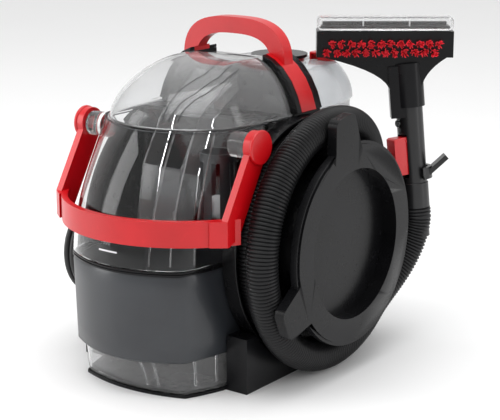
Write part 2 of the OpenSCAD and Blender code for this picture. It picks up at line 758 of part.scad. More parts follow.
// ==== Tank bail ====
bar_z0 = pivot_z - 84;
bar_r = 121;
bar_centre_y = -21;
module bail() color("#d5161e") {
  translate([0, 0, bar_z0]) linear_extrude(bail_h) bar_2d(bar_r, bar_r - 6);
  difference() {
    for (s = [-1, 1]) on_side(s) bail_arm();
    pivot_holes();
  }
}
arm_end_y = -92;
module bar_2d(r_out, r_in) {
  intersection() {
    difference() {
      translate([0, bar_centre_y]) circle(r_out, $fn = 128);
      translate([0, bar_centre_y]) circle(r_in, $fn = 128);
    }
    translate([-120, -200]) square([240, 200 + arm_end_y + 14]);
  }
}
module pivot_holes() {
  for (s = [-1, 1]) translate([s * 95, pivot_y, pivot_z]) rotate([0, 90, 0])
    cylinder(r = 6.05, h = 40, center = true);
}
module bail_arm() {
  along_x(pivot_out, pivot_out + 7) {
    translate([pivot_y, pivot_z]) circle(15);
    polygon([
      [pivot_y - 14, pivot_z - 5], [arm_end_y - 2, bar_z0 + bail_h], [arm_end_y - 2, bar_z0],
      [arm_end_y + 14, bar_z0 + 4], [pivot_y + 10, pivot_z - 11]
    ]);
  }
  translate([0, 0, bar_z0]) linear_extrude(bail_h) polygon([
    [pivot_out - 6, arm_end_y + 2], [pivot_out + 7, arm_end_y + 2],
    [pivot_out + 7, arm_end_y - 2], [pivot_out - 6, arm_end_y - 12]
  ]);
}
module bail_caps() color("#d5161e")
  for (s = [-1, 1]) on_side(s) translate([pivot_out + 7.1, pivot_y, pivot_z]) rotate([0, 90, 0]) {
    difference() {
      cylinder(r = 16, h = bail_out - pivot_out - 7.1);
      translate([0, 0, -1]) cylinder(r = 6.05, h = 4);
    }
  }

// ==== Rear tank ====
module clean_tank() color("#e3e7ea", 0.5)
  difference() {
    mirror([0, 1, 0]) difference() {
      loft_rows(clean_rows(0));
      loft_rows(clean_rows(tank_wall));
    }
    translate([fill_x, fill_y, clean_top - 10]) cylinder(r = fill_r + fit, h = 30);
    translate([0, valve_y, clean_floor - 5]) cylinder(r = 11, h = 20);
  }
fill_x = 0;
fill_y = 132;
fill_r = 26;
valve_y = 140;
module clean_base() color("#26282c")
  translate([0, valve_y, clean_floor]) difference() {
    union() {
      cylinder(r = 10.8, h = 14);
      translate([0, 0, tank_wall + fit]) cylinder(r = 15, h = 3);
    }
    translate([0, 0, -1]) cylinder(r = 5.05, h = 20);
  }
module valve_plunger() color("#cfd3d6")
  translate([0, valve_y, clean_floor - 2]) cylinder(r = 5, h = 24);
module fill_seal() color("#c9151c")
  translate([fill_x, fill_y, clean_top - 3]) tube(fill_r, fill_r - 4, 6);
module fill_cap() color("#1b1c1f")
  translate([fill_x, fill_y, clean_top + 3 + fit]) {
    cylinder(r = fill_r + 3, h = 3);
    translate([-8, -fill_r - 3, 1.5]) rotate([0, 90, 0]) cylinder(r = 2, h = 16);
  }
module cap_latch() color("#cf151c")
  difference() {
    translate([40, 154, clean_top - 9]) round_box([27, 16, 17], 3);
    translate([30, 140, clean_top - 3]) cube([8, 11, 9]);
    mirror([0, 1, 0]) translate([0, 0, 0.3]) loft_rows(clean_rows(0));
  }

// ==== Wand ====
module hose_cuff() color("#1d1e20")
  wand_frame() difference() {
    cylinder(r = hose_r - 1, h = cuff_len);
    translate([0, 0, 4]) cylinder(r = wand_r - 3, h = cuff_len);
  }
module wand_tube() color("#202124")
  grip_frame() translate([0, 0, cuff_len + fit]) difference() {
    cylinder(r = wand_r, h = grip_len);
    translate([0, 0, -1]) cylinder(r = wand_r - 3, h = grip_len + 2);
    translate([-8, -wand_r - 5, 6]) cube([16, 13, 44]);
  }
module spray_trigger() color("#cf151c")
  grip_frame() translate([0, 0, cuff_len]) {
    trigger_lever();
    translate([-7.8, trigger_pivot[0], trigger_pivot[1]]) rotate([0, 90, 0]) cylinder(r = 1.2, h = 15.6);
  }
module trigger_lever()
  difference() {
    translate([-7, -wand_r - trigger_out, 10]) cube([14, trigger_out + 7, 38]);
    translate([-20, -wand_r - 20, 42]) rotate([30, 0, 0]) cube([40, 20, 30]);
    translate([-20, -wand_r - trigger_out - 2, 2]) rotate([28, 0, 0]) cube([40, 9, 24]);
  }
module wand_lock() color("#17181a")
  grip_frame() translate([0, -wand_r - 1, cuff_len + 62]) rotate([90, 0, 0]) cylinder(r = 3.5, h = 1.6);
module tool_body() color("#131315")
  difference() {
    union() {
      wand_frame() translate([0, 0, tool_sleeve_z]) cylinder(r = wand_r + 2.6, h = tool_sleeve_h);
      wand_frame() translate([-wand_r - 6, -13, tool_sleeve_z - 10]) cube([18, 16, tool_sleeve_h + 8]);
      head_frame() translate([0, 11, 0]) rotate([90, 0, 0]) linear_extrude(22) neck_2d();
      head_frame() translate([-tool_w / 2, -14, 0]) cube([tool_w, 26, 26]);
    }
    wand_frame() translate([0, 0, tool_sleeve_z - 12])
      cylinder(r = wand_r + 0.1, h = cuff_len + grip_len + fit * 2 - tool_sleeve_z + 12);
    wand_frame() translate([0, 0, tool_sleeve_z]) cylinder(r = wand_r - 3, h = tool_sleeve_h);
  }
// The neck flares from the sleeve to the full width of the head
neck_h = 44;
neck_low = wand_r + 1;
neck_power = 2.7;
module neck_2d() {
  polygon(concat(
    [for (i = [0:10]) neck_point(i / 10, 1)],
    [for (i = [10:-1:0]) neck_point(i / 10, -1)]
  ));
}
function neck_point(t, side) =
  let (k = pow(t, neck_power), low = side * neck_low - head_shift, high = side * tool_w * 0.46)
  [low + (high - low) * k, neck_h * (t - 1)];
module tool_window() color("#9aa0a5", 0.6)
  head_frame() translate([-tool_w / 2, -14, 26 + fit]) cube([tool_w, 24, 14]);
module tool_bristles() color("#d3162a")
  head_frame() for (row = [0, 1]) for (i = [0:tufts - 1])
    translate([-tool_w / 2 + 10 + i * (tool_w - 20) / tufts + row * 5, -14.1, 5.5 + row * 8.5])
      rotate([90, 0, 0]) cylinder(r = 2.9, h = 7);

base_pan();
rubber_feet();
housing_left();
housing_right();
front_rim();
rear_rim();
carry_handle();
top_deck();
deck_vent();
motor_can();
fan_housing();
fan_impeller();
water_pump();
suction_duct();
spool_shroud();
spool_drum();
spool_disc();
hose_port();
hose_coil();
hose_bridge();
hose_tail();
cord_hook_front();
cord_hook_rear();
cord_winding();
cord_lead();
cord_end();
cord_gland();
mains_plug();
wand_cradle();
case_screws();
air_grille();
power_button();
left_cheek();
tank_foot();
tank_band();
tank_seam();
tank_bowl();
tank_lid();
lid_seal();
separator_duct();
float_cage();
float_ball();
bail_pivots();
bail();
bail_caps();
clean_tank();
clean_base();
fill_seal();
fill_cap();
cap_latch();
valve_plunger();
hose_cuff();
wand_tube();
wand_lock();
spray_trigger();
tool_body();
tool_window();
tool_bristles();
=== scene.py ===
# %% [markdown]
# # Portable spot extractor
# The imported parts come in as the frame. This notebook adds the camera, the hose and the mains cord
# first, then the clear tanks, the softened mouldings and the brush, then the finishes and the light.

# %% Load the frame
import json
import math
import random

import bpy
import bmesh
from mathutils import Matrix, Vector
from mathutils.bvhtree import BVHTree


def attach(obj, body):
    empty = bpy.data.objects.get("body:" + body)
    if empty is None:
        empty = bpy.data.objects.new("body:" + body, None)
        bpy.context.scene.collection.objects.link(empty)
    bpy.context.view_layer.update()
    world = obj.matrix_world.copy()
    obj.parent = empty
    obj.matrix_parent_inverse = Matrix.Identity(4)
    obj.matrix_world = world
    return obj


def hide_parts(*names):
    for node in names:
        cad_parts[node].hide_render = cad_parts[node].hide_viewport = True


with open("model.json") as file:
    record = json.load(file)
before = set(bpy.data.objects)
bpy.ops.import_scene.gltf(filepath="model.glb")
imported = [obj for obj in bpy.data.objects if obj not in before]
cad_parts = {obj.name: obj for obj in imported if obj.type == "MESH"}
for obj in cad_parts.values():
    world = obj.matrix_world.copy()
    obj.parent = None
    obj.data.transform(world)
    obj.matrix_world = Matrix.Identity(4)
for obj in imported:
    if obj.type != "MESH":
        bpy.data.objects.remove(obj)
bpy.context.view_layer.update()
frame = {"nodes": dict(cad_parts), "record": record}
record = frame["record"]
slot_of = {part["node"]: part["material_slot"] for part in record["subparts"]}
body_of = {node: body for body, nodes in record["behaviour"]["bodies"].items() for node in nodes}
random.seed(7)

# %% [markdown]
# ## Camera
# A long lens from the front right, a little above the machine.

# %% Camera
MM = 0.001
TARGET = Vector((59.6, 0, 159.8)) * MM
AZIMUTH, ELEVATION = math.radians(36.3), math.radians(14.3)
DISTANCE = 1.4267
LENS = 107.39
away = Vector((
    math.sin(AZIMUTH) * math.cos(ELEVATION),
    -math.cos(AZIMUTH) * math.cos(ELEVATION),
    math.sin(ELEVATION),
))
camera_data = bpy.data.cameras.new("camera")
camera_data.lens = LENS
camera_data.sensor_width = 36
camera = bpy.data.objects.new("camera", camera_data)
camera.location = TARGET + away * DISTANCE
camera.rotation_euler = (-away).to_track_quat("-Z", "Y").to_euler()
bpy.context.scene.collection.objects.link(camera)
bpy.context.scene.camera = camera
print("camera", tuple(round(c, 3) for c in camera.location))

# %% [markdown]
# ## Shader builder
# A Sock wraps one shader value, so that plain sums and products make Math nodes. A Look is one
# material. Each finish reads Object coordinates, which are the row frame in metres.

# %% Shader builder
class Sock:
    def __init__(self, look, out):
        self.look = look
        self.out = out

    def math(self, kind, other=None, flip=False):
        pair = (self, other) if not flip else (other, self)
        values = {0: pair[0]} if other is None else {0: pair[0], 1: pair[1]}
        return self.look.node("ShaderNodeMath", {"operation": kind}, values)

    def __add__(self, other):
        return self.math("ADD", other)

    def __radd__(self, other):
        return self.math("ADD", other)

    def __sub__(self, other):
        return self.math("SUBTRACT", other)

    def __rsub__(self, other):
        return self.math("SUBTRACT", other, True)

    def __mul__(self, other):
        return self.math("MULTIPLY", other)

    def __rmul__(self, other):
        return self.math("MULTIPLY", other)

    def step(self, low, high):
        values = {0: self, 1: low, 2: high, 3: 0.0, 4: 1.0}
        return self.look.node("ShaderNodeMapRange", {"interpolation_type": "SMOOTHSTEP"}, values)


class Look:
    def __init__(self, name):
        self.mat = bpy.data.materials.new(name)
        self.mat.use_nodes = True
        self.tree = self.mat.node_tree
        self.tree.nodes.clear()
        self.end = self.tree.nodes.new("ShaderNodeOutputMaterial")
        self.bsdf = self.tree.nodes.new("ShaderNodeBsdfPrincipled")
        self.tree.links.new(self.bsdf.outputs[0], self.end.inputs[0])
        self.place = self.node("ShaderNodeTexCoord", out="Object")

    def node(self, kind, settings=None, values=None, out=0):
        made = self.tree.nodes.new(kind)
        for key, value in (settings or {}).items():
            setattr(made, key, value)
        for key, value in (values or {}).items():
            self.put(made.inputs[key], value)
        return Sock(self, made.outputs[out])

    def put(self, socket, value):
        if isinstance(value, Sock):
            self.tree.links.new(value.out, socket)
        elif value is not None:
            socket.default_value = value

    def noise(self, scale, detail=3.0, place=None):
        values = {"Vector": place or self.place, "Scale": scale, "Detail": detail}
        return self.node("ShaderNodeTexNoise", None, values)

    def stretch(self, factors):
        values = {0: self.place, 1: factors}
        return self.node("ShaderNodeVectorMath", {"operation": "MULTIPLY"}, values)

    def mix(self, factor, first, second):
        values = {0: factor, 6: (*first, 1) if isinstance(first, tuple) else first,
                  7: (*second, 1) if isinstance(second, tuple) else second}
        return self.node("ShaderNodeMix", {"data_type": "RGBA"}, values, 2)

    def bump(self, height, strength, distance):
        values = {"Height": height, "Strength": strength, "Distance": distance}
        self.put(self.bsdf.inputs["Normal"], self.node("ShaderNodeBump", None, values))

    def finish(self, **values):
        for key, value in values.items():
            if isinstance(value, tuple):
                value = (*value, 1)
            self.put(self.bsdf.inputs[key.replace("_", " ")], value)
        return self


def plastic(name, low, high, rough, spread, coat=0.0, grain=900, height=0.00006, tint_scale=14, gloss=0.5):
    look = Look(name)
    cloud = look.noise(tint_scale, 4)
    fine = look.noise(grain, 2)
    dust = look.noise(160, 5).step(0.58, 0.78)
    colour = look.mix(cloud.step(0.3, 0.7), low, high)
    colour = look.mix(dust * 0.1, colour, tuple(min(1, c * 1.6 + 0.01) for c in high))
    look.bump(fine + cloud * 0.4, 0.35, height)
    return look.finish(Base_Color=colour, Roughness=rough + cloud * spread + dust * 0.06,
                       Coat_Weight=coat, Coat_Roughness=0.06, Specular_IOR_Level=gloss)


def clear(name, low, high, rough, spread, through, ior, height=0.0002):
    look = Look(name)
    cloud = look.noise(9, 3)
    smear = look.noise(1, 4, look.stretch((40, 40, 9))).step(0.5, 0.8)
    colour = look.mix(cloud.step(0.3, 0.7), low, high)
    look.bump(look.noise(26, 2), 0.12, height)
    return look.finish(Base_Color=colour, Roughness=rough + smear * spread + cloud * 0.02,
                       Transmission_Weight=through, IOR=ior)


looks = {
    "black_gloss": plastic("black_gloss", (0.003, 0.003, 0.0035), (0.006, 0.006, 0.007), 0.22, 0.1, 0.0,
                           gloss=0.2),
    "rubber": plastic("rubber", (0.008, 0.008, 0.009), (0.014, 0.014, 0.015), 0.62, 0.2, 0, 1400, 0.0002),
    "red_plastic": plastic("red_plastic", (0.5, 0.001, 0.004), (0.6, 0.003, 0.008), 0.26, 0.1, 0.1),
    "grey_satin": plastic("grey_satin", (0.018, 0.02, 0.024), (0.026, 0.029, 0.034), 0.3, 0.1, 0.15,
                          2200, 0.00004),
    "wand_plastic": plastic("wand_plastic", (0.004, 0.004, 0.0045), (0.009, 0.009, 0.01), 0.28, 0.14, 0.05,
                            1800, 0.00005),
    "hose_rubber": plastic("hose_rubber", (0.004, 0.004, 0.0045), (0.01, 0.01, 0.011), 0.36, 0.14, 0,
                           gloss=0.3),
    "cord_pvc": plastic("cord_pvc", (0.005, 0.005, 0.0055), (0.009, 0.009, 0.01), 0.36, 0.12),
    "bristle": plastic("bristle", (0.75, 0.008, 0.02), (0.95, 0.02, 0.045), 0.4, 0.1, 0, 1500, 0.0001, 120),
    "inner_plastic": plastic("inner_plastic", (0.03, 0.032, 0.036), (0.05, 0.052, 0.056), 0.45, 0.15),
    "white_plastic": plastic("white_plastic", (0.68, 0.69, 0.7), (0.78, 0.79, 0.8), 0.35, 0.12),
    "smoke_clear": clear("smoke_clear", (0.95, 0.955, 0.96), (0.98, 0.982, 0.985), 0.012, 0.05, 0.95, 1.3),
    "bowl_clear": clear("bowl_clear", (0.96, 0.965, 0.97), (0.99, 0.99, 0.99), 0.01, 0.03, 1.0, 1.3),
    "frost_clear": clear("frost_clear", (0.9, 0.92, 0.94), (0.95, 0.96, 0.97), 0.14, 0.1, 0.75, 1.3),
}
steel = Look("steel")
brushed = steel.noise(1, 3, steel.stretch((60, 60, 900)))
steel.bump(brushed, 0.3, 0.0001)
steel.finish(Base_Color=steel.mix(brushed, (0.45, 0.46, 0.48), (0.62, 0.63, 0.65)),
             Metallic=1.0, Roughness=0.24 + brushed * 0.25)
looks["steel"] = steel
print("finishes", len(looks))

# %% [markdown]
# ## Mesh helpers
# Pieces are built in the row frame, so each finished object sits at the origin, unturned.

# %% Mesh helpers
def piece(name, bm, slot, body, sharp=35.0, recalc=True):
    if recalc:
        bmesh.ops.recalc_face_normals(bm, faces=bm.faces)
    for face in bm.faces:
        face.smooth = True
    for edge in bm.edges:
        if len(edge.link_faces) == 2 and edge.calc_face_angle(0) > math.radians(sharp):
            edge.smooth = False
    mesh = bpy.data.meshes.new(name)
    bm.to_mesh(mesh)
    bm.free()
    mesh.materials.append(looks[slot].mat)
    obj = bpy.data.objects.new(name, mesh)
    bpy.context.scene.collection.objects.link(obj)
    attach(obj, body)
    return obj


def skin(bm, rings, closed=True, caps=(False, False)):
    rows = [[bm.verts.new(p) for p in ring] for ring in rings]
    count = len(rows[0])
    for low, high in zip(rows, rows[1:]):
        for i in range(count if closed else count - 1):
            j = (i + 1) % count
            bm.faces.new((low[i], low[j], high[j], high[i]))
    if caps[0]:
        bm.faces.new(list(reversed(rows[0])))
    if caps[1]:
        bm.faces.new(rows[-1])
    return rows


def spread(points, spacing):
    """The same line, with points at even spacing along it."""
    out, left = [points[0].copy()], spacing
    for a, b in zip(points, points[1:]):
        length, done = (b - a).length, 0.0
        while length - done >= left:
            done += left
            out.append(a.lerp(b, done / length))
            left = spacing
        left -= length - done
    if (out[-1] - points[-1]).length > spacing * 0.3:
        out.append(points[-1].copy())
    return out


def line_length(points):
    return sum((b - a).length for a, b in zip(points, points[1:]))


def tube_rings(points, radius_at, sides, side=Vector((1, 0, 0))):
    """Rings along a line, carried from point to point without twist."""
    rings, across = [], side
    for i, here in enumerate(points):
        way = (points[min(i + 1, len(points) - 1)] - points[max(i - 1, 0)]).normalized()
        across = (across - way * across.dot(way)).normalized()
        other = way.cross(across)
        radius = radius_at(i)
        rings.append([
            here + radius * (across * math.cos(t) + other * math.sin(t))
            for t in (2 * math.pi * k / sides for k in range(sides))
        ])
    return rings


def add_tube(bm, points, radius, sides=10, side=Vector((1, 0, 0))):
    skin(bm, tube_rings(points, lambda i: radius, sides, side), True, (True, True))


# %% [markdown]
# ## Hose
# The ribbed hose leaves its port behind the top of the spool, goes round twice, the second turn on
# the first, and rises to the cuff of the wand. Its ribs are 3.3 mm apart.

# %% Hose
SPOOL = Vector((0, 48.6, 130.2))
HOSE_R = 15.5
INNER_TURN, OUTER_TURN, CUFF_TURN = (96.1, 95.0), (120.65, 113.82), (138.6, 131.4)
SWAP, LEAVE = (345, 440), (668, 720)
HOSE_FROM, HOSE_TO = 85.5, 720
CUFF_LOW = Vector((138.6, 180.0, 130.2))
LEAN = Vector((-math.sin(math.radians(6)), 0, math.cos(math.radians(6))))


def ease(t):
    t = min(1, max(0, t))
    return t * t * (3 - 2 * t)


def hose_point(angle):
    first = ease((angle - SWAP[0]) / (SWAP[1] - SWAP[0]))
    second = ease((angle - LEAVE[0]) / (LEAVE[1] - LEAVE[0]))
    here = [a + (b - a) * first for a, b in zip(INNER_TURN, OUTER_TURN)]
    here = [a + (b - a) * second for a, b in zip(here, CUFF_TURN)]
    turn = math.radians(angle)
    return (SPOOL + Vector((here[0], here[1] * math.cos(turn), here[1] * math.sin(turn)))) * MM


RIB_PITCH = 3.3
RIB_SHAPE = (HOSE_R - 1.7, HOSE_R - 0.5, HOSE_R, HOSE_R - 0.5)
steps = int((HOSE_TO - HOSE_FROM) / 0.75)
route = [hose_point(HOSE_FROM + (HOSE_TO - HOSE_FROM) * i / steps) for i in range(steps + 1)]
route.append((CUFF_LOW + LEAN * 8) * MM)
hose_line = spread(route, RIB_PITCH / len(RIB_SHAPE) * MM)
bm = bmesh.new()
skin(bm, tube_rings(hose_line, lambda i: RIB_SHAPE[i % 4] * MM, 32), True, (True, True))
hose = piece("ribbed_hose", bm, "hose_rubber", "chassis", 80)
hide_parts("hose_coil", "hose_bridge", "hose_tail")
hose_length = line_length(hose_line)
[tuple(p) for p in hose_line[::4] + [hose_line[-1]]]
bm = bmesh.new()
add_tube(bm, [(CUFF_LOW + LEAN * z) * MM for z in (-22, 9)], 12.6 * MM, 32)
piece("hose_spigot", bm, "wand_plastic", "wand")
print("hose", round(hose_length, 3), "m, ribs", len(hose_line) // 4)

# %% [markdown]
# ## Mains cord
# The cord leaves its gland at the side, is wound flat on the two hooks, and ends in the plug that
# hangs behind them. Each column of turns goes in to the hooks or back out again.

# %% Mains cord
CORD_D = 7.5
COLUMNS, LAYERS = 4, 4
FRONT_Y, REAR_Y, WIND_Z, WIND_R = -9.5, 62.0, 97.0, 20.5
WIND_X = -101.5
GLAND_Y, PLUG_Z = 110.0, 62.0
places = []
for column in range(COLUMNS):
    order = range(LAYERS - 1, -1, -1) if column % 2 == 0 else range(LAYERS)
    places += [(WIND_X - CORD_D * (column + 0.5), WIND_R + CORD_D * (layer + 0.5)) for layer in order]
cord_line = [Vector((places[0][0], GLAND_Y, WIND_Z - places[0][1]))]
for number, (x, r) in enumerate(places):
    before = places[max(0, number - 1)]
    for t in (0.0, 0.15, 0.3, 0.5, 0.7, 0.85, 1.0):
        now = [a + (b - a) * ease(t) for a, b in zip(before, (x, r))]
        cord_line.append(Vector((now[0], REAR_Y + (FRONT_Y - REAR_Y) * t, WIND_Z - now[1])))
    for i in range(1, 19):
        turn = math.pi * i / 18
        cord_line.append(Vector((x, FRONT_Y - r * math.sin(turn), WIND_Z - r * math.cos(turn))))
    last = number == len(places) - 1
    for i in range(0, 10 if last else 18):
        turn = math.pi * i / 18
        cord_line.append(Vector((x, REAR_Y + r * math.sin(turn), WIND_Z + r * math.cos(turn))))
cord_line.append(Vector((cord_line[-1].x, cord_line[-1].y, PLUG_Z)))
cord_line = spread([p * MM for p in cord_line], 3.2 * MM)
bm = bmesh.new()
skin(bm, tube_rings(cord_line, lambda i: CORD_D / 2 * MM, 12), True, (True, True))
cord = piece("mains_cord", bm, "cord_pvc", "chassis", 80)
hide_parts("cord_winding", "cord_lead", "cord_end")
cord_length = line_length(cord_line)
print("cord", round(cord_length, 3), "m")

# %% [markdown]
# ## Outlines of the tanks
# One plan outline has its side corners, its two front creases, a bowed front and a straight back.
# The corners are eased by smoothing the line round.

# %% Outlines
TW, WALL = 76.5, 2.2
SPRING, TOP, HALF_W = 170.0, 304.0, 89.0
# z, side x, side y, crease x, crease y, front y, side bow, back x, back y
FOOT = [(4, 75.5, -64, 60, -102.5, -114.5, 1, 75.5, 6), (36.8, 75.5, -64, 60.3, -106, -129, 1, 75.5, 6)]
BAND_LOW = (37, TW, -66, 66, -110.5, -134, 1, TW, 7)
BAND_HIGH = (121, TW, -66, 66.6, -113.5, -137, 2, TW, 7)
BOWL_TOP = (247, TW, -40, 58, -66, -90, 5, TW, 7)


def arch_x(z):
    t = max(0, (z - SPRING) / (TOP - SPRING))
    return HALF_W * max(0, 1 - t ** 3) ** (1 / 3)


def mixed(a, b, t):
    return tuple(p + (q - p) * t for p, q in zip(a, b))


def at(v, z):
    return (z, *v[1:])


def inner(v, w):
    return (v[0], v[1] - w, v[2], v[3] - w * 0.8, v[4] + w, v[5] + w, v[6], v[7] - w, v[8] - w)


def bow(p, q, bulge, n):
    d = q - p
    side = Vector((d.y, -d.x)).normalized()
    return [p + d * (i / n) + side * bulge * 4 * (i / n) * (1 - i / n) for i in range(n + 1)]


def plan(v, soft=3, flip=1):
    z, sx, sy, cx, cy, fy, bulge, bx, by = v
    right = bow(Vector((cx, cy)), Vector((sx, sy)), bulge, 14)
    right += bow(Vector((sx, sy)), Vector((bx, by)), 0, 26)[1:]
    right += bow(Vector((bx, by)), Vector((0, by)), 0, 20)[1:]
    front = bow(Vector((-cx, cy)), Vector((cx, cy)), cy - fy, 60)
    line = front[30:-1] + right
    line += [Vector((-p.x, p.y)) for p in reversed(line[1:-1])]
    for _ in range(soft):
        line = [(line[i - 1] + 2 * p + line[(i + 1) % len(line)]) / 4 for i, p in enumerate(line)]
    return [Vector((p.x, p.y * flip, z)) * MM for p in line]


def bowl_row(t):
    return at(mixed(BAND_HIGH, BOWL_TOP, t ** 1.9), 121 + 126 * t)


def lid_row(t, w=0.0):
    z = 248 + 52 * math.sin(math.radians(90 * t)) - w
    half = max(6, arch_x(z - 1) - 1.5 - w)
    front = 40 - max(8, 130 * math.cos(math.radians(88 * t)) - w)
    side = front * 0.28 + 4
    return (z, half * 0.96, side, half * 0.66, front * 0.74 + side * 0.26, front, half * 0.05, half, 40 - w)


def shell(name, rows, wall, slot, body, flip=1, floor=None, dome=False, soft=3):
    """A wall with an inside, joined at its rims, and closed by a floor or a dome."""
    bm = bmesh.new()
    outside = [plan(v, soft, flip) for v in rows]
    inside = [plan(inner(v, wall), soft, flip) for v in rows]
    if floor is not None:
        inside[0] = plan(at(inner(rows[0], wall), rows[0][0] + floor), soft, flip)
    if dome:
        inside = [[p - Vector((0, 0, wall * MM)) if k else p for p in r] for k, r in enumerate(inside)]
    rings = outside + list(reversed(inside))
    if floor is not None:
        skin(bm, rings, True, (True, True))
    elif dome:
        rings = list(reversed(outside)) + inside
        skin(bm, rings, True, (True, True))
    else:
        skin(bm, rings + [rings[0]], True)
        bmesh.ops.remove_doubles(bm, verts=bm.verts, dist=1e-7)
    return piece(name, bm, slot, body, 50)


# %% [markdown]
# ## Front recovery tank
# A clear foot, a satin band, a dark seam ring, and the clear bowl and lid.

# %% Front tank
TANK = "recovery_tank"
foot = shell("clear_foot", [mixed(*FOOT, t / 6) for t in range(7)], WALL, "smoke_clear", TANK, floor=WALL)
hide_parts("tank_foot")
band_rows = [at(inner(BAND_LOW, 1.4), 37)]
band_rows += [mixed(BAND_LOW, BAND_HIGH, t) for t in (0.02, 0.2, 0.4, 0.6, 0.8, 0.97)]
band_rows += [at(inner(BAND_HIGH, 1.2), 121)]
band = shell("satin_band", band_rows, 4.6, "grey_satin", TANK)
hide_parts("tank_band")
seam_rows = [
    at(inner(BAND_HIGH, w), z)
    for z, w in ((121.2, 0.8), (121.6, -0.3), (123.0, -0.5), (123.4, 0.5), (124.0, 0.5), (124.4, -0.3),
                 (125.4, -0.3), (126.0, 0.6))
]
seam = shell("seam_ring", seam_rows, 3.2, "black_gloss", TANK)
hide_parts("tank_seam")
BOWL_FROM = 5.4 / 126
bowl = shell("clear_bowl", [bowl_row(BOWL_FROM + (1 - BOWL_FROM) * t / 30) for t in range(31)], WALL,
             "smoke_clear", TANK)
bowl.data.materials[0] = looks["bowl_clear"].mat
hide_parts("tank_bowl")
lid = shell("clear_lid", [lid_row(t / 30) for t in range(31)], WALL, "smoke_clear", TANK, dome=True)
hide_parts("tank_lid")

# Ribs inside the creases of the bowl and in the corners of the foot
bm = bmesh.new()
BOWL_RIB_PLACES, FOOT_RIB_PLACES = (26, 34, 206, 198), (12, 18, 222, 214)
for index in BOWL_RIB_PLACES:
    rows = [plan(inner(bowl_row(0.07 + 0.9 * t / 14), WALL + 0.6)) for t in range(15)]
    add_tube(bm, [row[index % len(row)] for row in rows], 0.8 * MM, 8)
for index in FOOT_RIB_PLACES:
    rows = [plan(inner(mixed(*FOOT, t / 6), WALL + 0.4)) for t in range(1, 7)]
    add_tube(bm, [row[index % len(row)] for row in rows], 1.1 * MM, 8)
piece("tank_ribs", bm, "smoke_clear", TANK)

# The fill line, a plain white bar on the outside of the bowl
bm = bmesh.new()
low, high = (plan(inner(bowl_row((z - 121) / 126), -0.15)) for z in (139.0, 140.6))
picked = [i % len(low) for i in range(-6, 5)]
outer = [[low[i] for i in picked], [high[i] for i in picked]]
skin(bm, outer, False)
piece("fill_line", bm, "white_plastic", TANK)
print("ring points", len(low))

# %% [markdown]
# ## Ribs of the lid
# Three lines of the air duct run over the inside of the lid, with two bends each. A bead and a thin
# dark line go round the seam under the lid.

# %% Lid ribs
bm = bmesh.new()
bm.from_mesh(lid.data)
tree = BVHTree.FromBMesh(bm)
bm.free()


def on_lid(x, y, drop=1.1):
    hit = tree.ray_cast(Vector((x, y, 400)) * MM, Vector((0, 0, -1)))[0]
    return hit - Vector((0, 0, drop * MM)) if hit else None


DUCT_LINES = (
    ((19, 12), (28, -28), (23, -58), (23, -74), (23, -85)),
    ((38, 1), (43, -27), (39, -55), (33, -68), (29, -83)),
    ((48, -2), (50, -28), (47, -50), (41, -65), (36, -80)),
)
bm = bmesh.new()
for corners in DUCT_LINES:
    line = [on_lid(p.x, p.y) for p in spread([Vector((*c, 0)) for c in corners], 3)]
    add_tube(bm, [p for p in line if p], 0.7 * MM, 8)
piece("lid_ribs", bm, "inner_plastic", TANK)

# The bead on the bottom edge of the lid, and the line round the top of the bowl
bm = bmesh.new()
edge = plan(inner(lid_row(0), -0.4))
add_tube(bm, edge + edge[:1], 1.2 * MM, 10, Vector((0, 0, 1)))
piece("lid_bead", bm, "smoke_clear", TANK)
bm = bmesh.new()
edge = plan(inner(bowl_row(0.985), -0.1))
add_tube(bm, edge + edge[:1], 0.6 * MM, 8, Vector((0, 0, 1)))
piece("lid_shadow_line", bm, "inner_plastic", TANK)

# %% [markdown]
# ## Rear clean-water tank
# A frosted tank that follows the arch of the tower at its top.

# %% Rear tank
CLEAN = "clean_water_tank"
CLEAN_LOW = (57, TW, -105.5, 66, -166, -190, 3, TW, -85.5)


def clean_row(t):
    z = 248 + 36 * t
    half = arch_x(z) - 1
    return (z, half, -101.5, 68 - 16 * t * t, -168 + 8 * t * t, -190 + 16 * t * t, 3, half, -85.5)


clean_rows = [at(inner(CLEAN_LOW, 1.5), 57)] + [at(CLEAN_LOW, z) for z in (59, 90, 130, 170, 210, 240, 245)]
clean_rows += [clean_row(t / 12) for t in range(12)] + [at(inner(clean_row(1), 0.5), 283.2)]
clean_rows += [at(inner(clean_row(1), 2.4), 284)]
bm = bmesh.new()
outside = [plan(v, 3, -1) for v in clean_rows]
inside = [[p - Vector((0, 0, WALL * MM)) if k else p for p in plan(inner(v, WALL), 3, -1)]
          for k, v in enumerate(clean_rows)]
skin(bm, list(reversed(outside)) + inside, True, (True, True))
tank = piece("frosted_tank", bm, "frost_clear", CLEAN, 50)
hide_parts("clean_tank")
bm = bmesh.new()
skin(bm, [plan(at(inner(CLEAN_LOW, 3.9), z), 3, -1) for z in (57.2, 59.6)], True, (True, True))
piece("frosted_floor", bm, "frost_clear", CLEAN)
print("tank rows", len(clean_rows))

# %% [markdown]
# ## Softened mouldings
# These pieces keep the shape of their CAD node, with its edges rounded.

# %% Softened mouldings
def everywhere(p):
    return True


